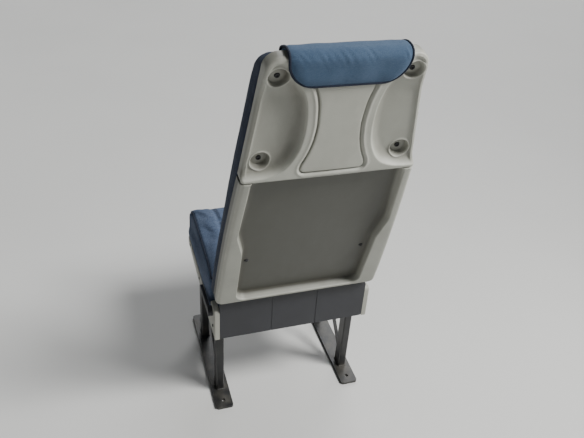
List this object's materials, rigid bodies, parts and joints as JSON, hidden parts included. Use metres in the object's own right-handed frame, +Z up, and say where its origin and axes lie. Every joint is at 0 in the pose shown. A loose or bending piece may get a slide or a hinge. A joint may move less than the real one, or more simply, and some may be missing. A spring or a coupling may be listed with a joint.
{
  "type": "minibus passenger seat",
  "caption": "High-backed vehicle passenger seat: hard shell behind a reclining padded backrest with headrest, cushion on a steel frame with bolted floor runners.",
  "frame": {"origin": "on the floor, in the middle of the four floor bolts", "axes": "+Z up, +Y the way the seated passenger faces, +X to the passenger's right, away from the aisle"},
  "size_m": [0.446, 0.6388, 1.1127],
  "materials": {
    "shell_plastic": "satin grained",
    "shell_plastic_lower": "satin grained",
    "screw_plastic": "satin",
    "frame_steel": "powder coat",
    "recliner_steel": "zinc plated",
    "seat_cloth": "flat woven",
    "bolster_cloth": "flat woven",
    "headrest_cloth": "flat woven",
    "cover_plastic": "satin grained",
    "apron_plastic": "satin grained"
  },
  "bodies": {
    "base": {"seat_cushion": "seat_cloth", "seat_pan": "frame_steel", "rail_left": "frame_steel", "rail_right": "frame_steel", "cross_tube_front": "frame_steel", "cross_tube_rear": "frame_steel", "leg_left": "frame_steel", "leg_right": "frame_steel", "recliner_plate_left": "recliner_steel", "recliner_plate_right": "recliner_steel", "recliner_pin_left": "recliner_steel", "recliner_pin_right": "recliner_steel", "side_cover_left": "cover_plastic", "side_cover_right": "cover_plastic", "rear_apron": "apron_plastic", "recline_lever": "apron_plastic"},
    "backrest": {"back_shell_upper": "shell_plastic", "centre_panel": "shell_plastic", "back_shell_lower": "shell_plastic_lower", "shell_screws": "screw_plastic", "net_clips": "screw_plastic", "back_frame": "frame_steel", "back_cushion": "seat_cloth", "back_bolster_left": "bolster_cloth", "back_bolster_right": "bolster_cloth", "headrest": "headrest_cloth"}
  },
  "joints": [
    {"name": "backrest_recline", "type": "hinge", "parent": "base", "child": "backrest", "pos_m": [0, -0.15, 0.372], "axis": [1, 0, 0], "range_deg": [0, 22]}
  ]
}
